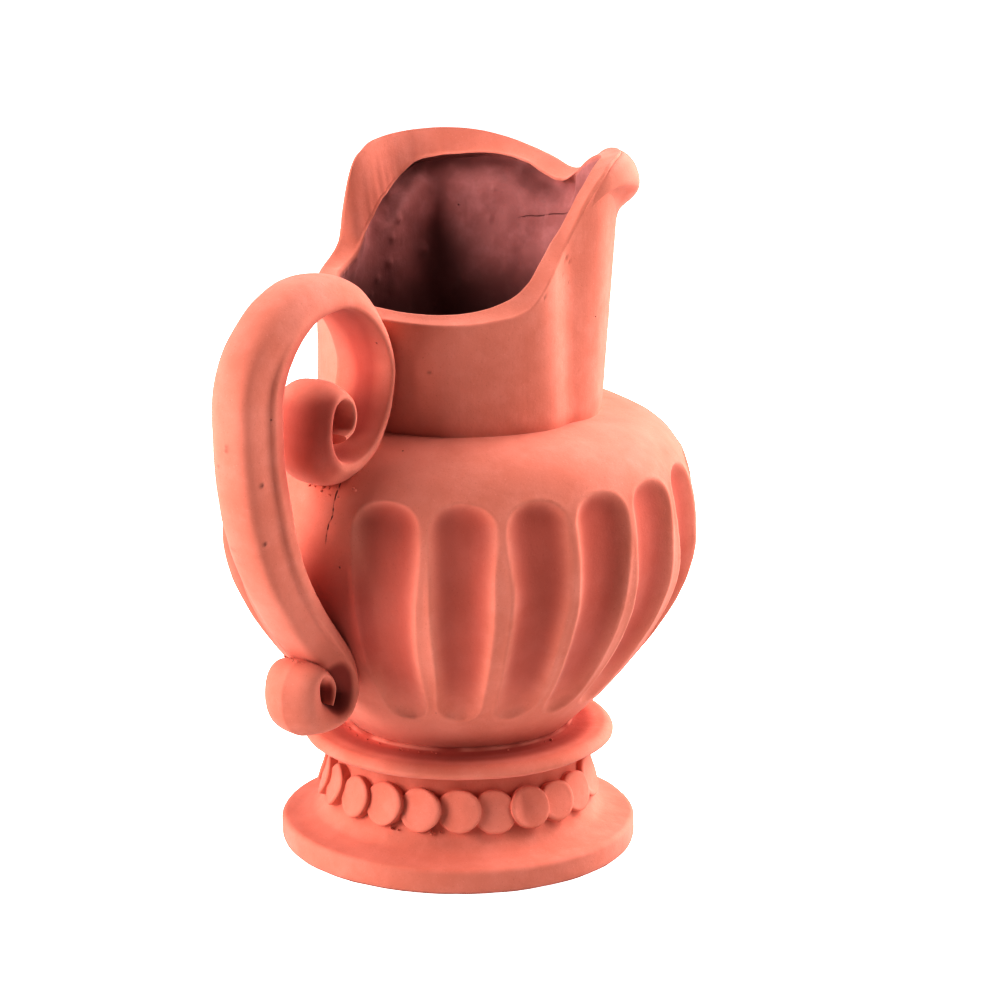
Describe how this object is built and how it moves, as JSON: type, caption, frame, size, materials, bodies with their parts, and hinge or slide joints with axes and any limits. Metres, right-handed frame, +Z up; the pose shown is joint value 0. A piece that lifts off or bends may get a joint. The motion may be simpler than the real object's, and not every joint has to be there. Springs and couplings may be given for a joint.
{
  "type": "pitcher",
  "caption": "Unglazed terracotta pitcher with a fluted round body, beaded pedestal foot, pinched high-sided neck with a rolled lip, and a scroll handle.",
  "frame": {"origin": "centre of the foot plate's underside, on the surface the pitcher stands on and on the axis of the body", "axes": "+Z up along the body's axis; +X from the axis towards the spout, so that the handle is on the -X side; XZ is the mirror plane of body, neck and handle"},
  "size_m": [0.2675, 0.2114, 0.317],
  "materials": {
    "terracotta": "unglazed matte fired red clay, lightly mottled, with fine pinholes and hairline cracks"
  },
  "bodies": {
    "root": {"foot_plate": "terracotta", "foot_stem": "terracotta", "collar_ring": "terracotta", "body": "terracotta", "neck": "terracotta", "lip_roll": "terracotta", "handle_volute": "terracotta", "handle_strap": "terracotta", "button_01": "terracotta", "button_02": "terracotta", "button_03": "terracotta", "button_04": "terracotta", "button_05": "terracotta", "button_06": "terracotta", "button_07": "terracotta", "button_08": "terracotta", "button_09": "terracotta", "button_10": "terracotta", "button_11": "terracotta", "button_12": "terracotta", "button_13": "terracotta", "button_14": "terracotta", "button_15": "terracotta", "button_16": "terracotta", "button_17": "terracotta", "button_18": "terracotta", "button_19": "terracotta", "button_20": "terracotta", "button_21": "terracotta", "button_22": "terracotta"}
  },
  "joints": []
}
